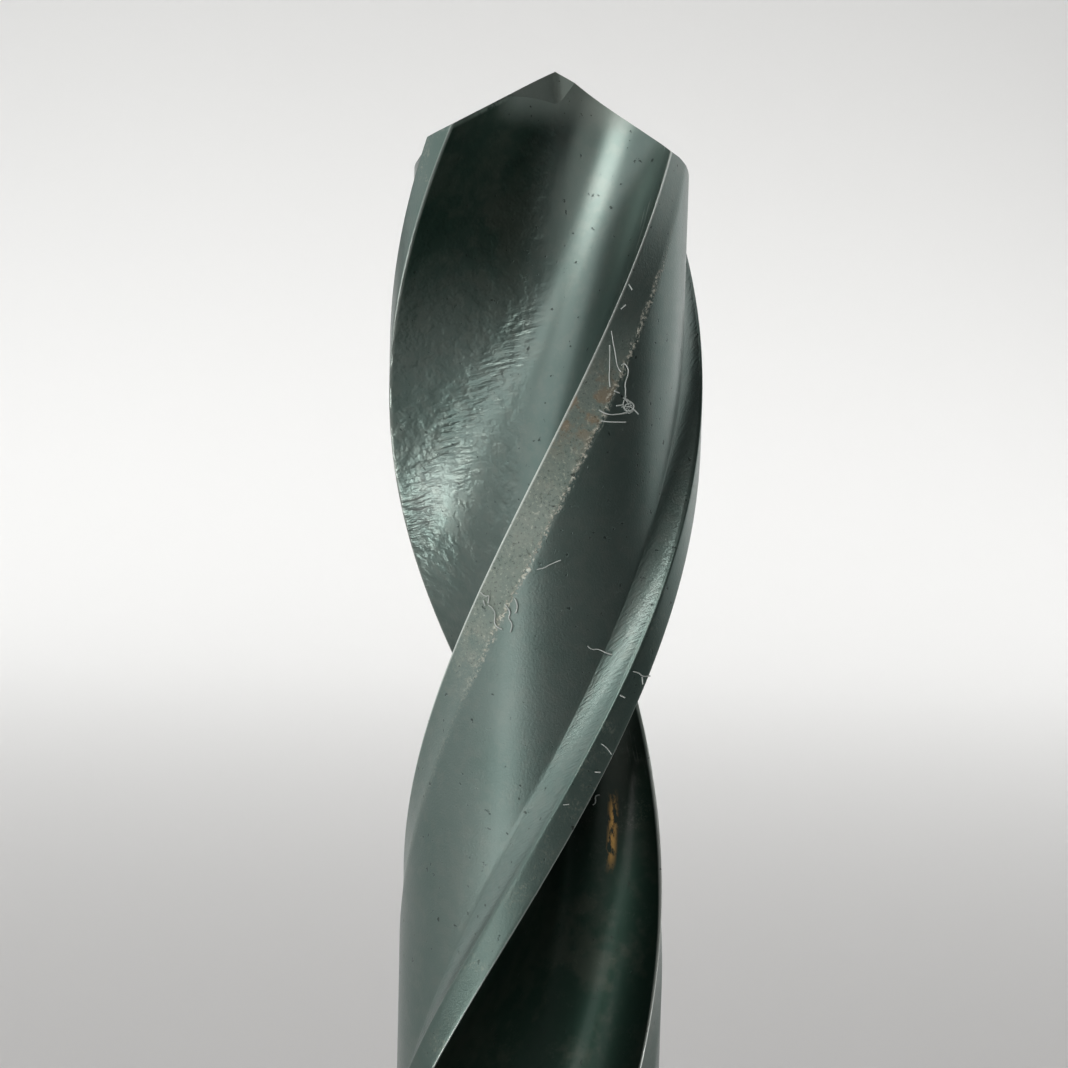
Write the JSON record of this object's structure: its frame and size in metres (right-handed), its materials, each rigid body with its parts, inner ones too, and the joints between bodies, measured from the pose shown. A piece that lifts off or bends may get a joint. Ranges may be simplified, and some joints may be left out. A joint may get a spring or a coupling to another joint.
{
  "type": "twist drill bit",
  "caption": "Right-hand twist drill with a ground point, thinned web, narrow margins, hollow-ground lands and a plain straight shank for a drill chuck.",
  "frame": {"origin": "centre of the flat end of the shank, on the drill's axis", "axes": "+Z along the axis from the shank to the point; -Y is the side from which one flute shows its lip at the left"},
  "size_m": [0.006, 0.006, 0.093],
  "materials": {
    "steam_tempered_steel": "dark grey-green satin oxide, brighter where ground"
  },
  "bodies": {
    "root": {"twist_drill": "steam_tempered_steel"}
  },
  "joints": []
}
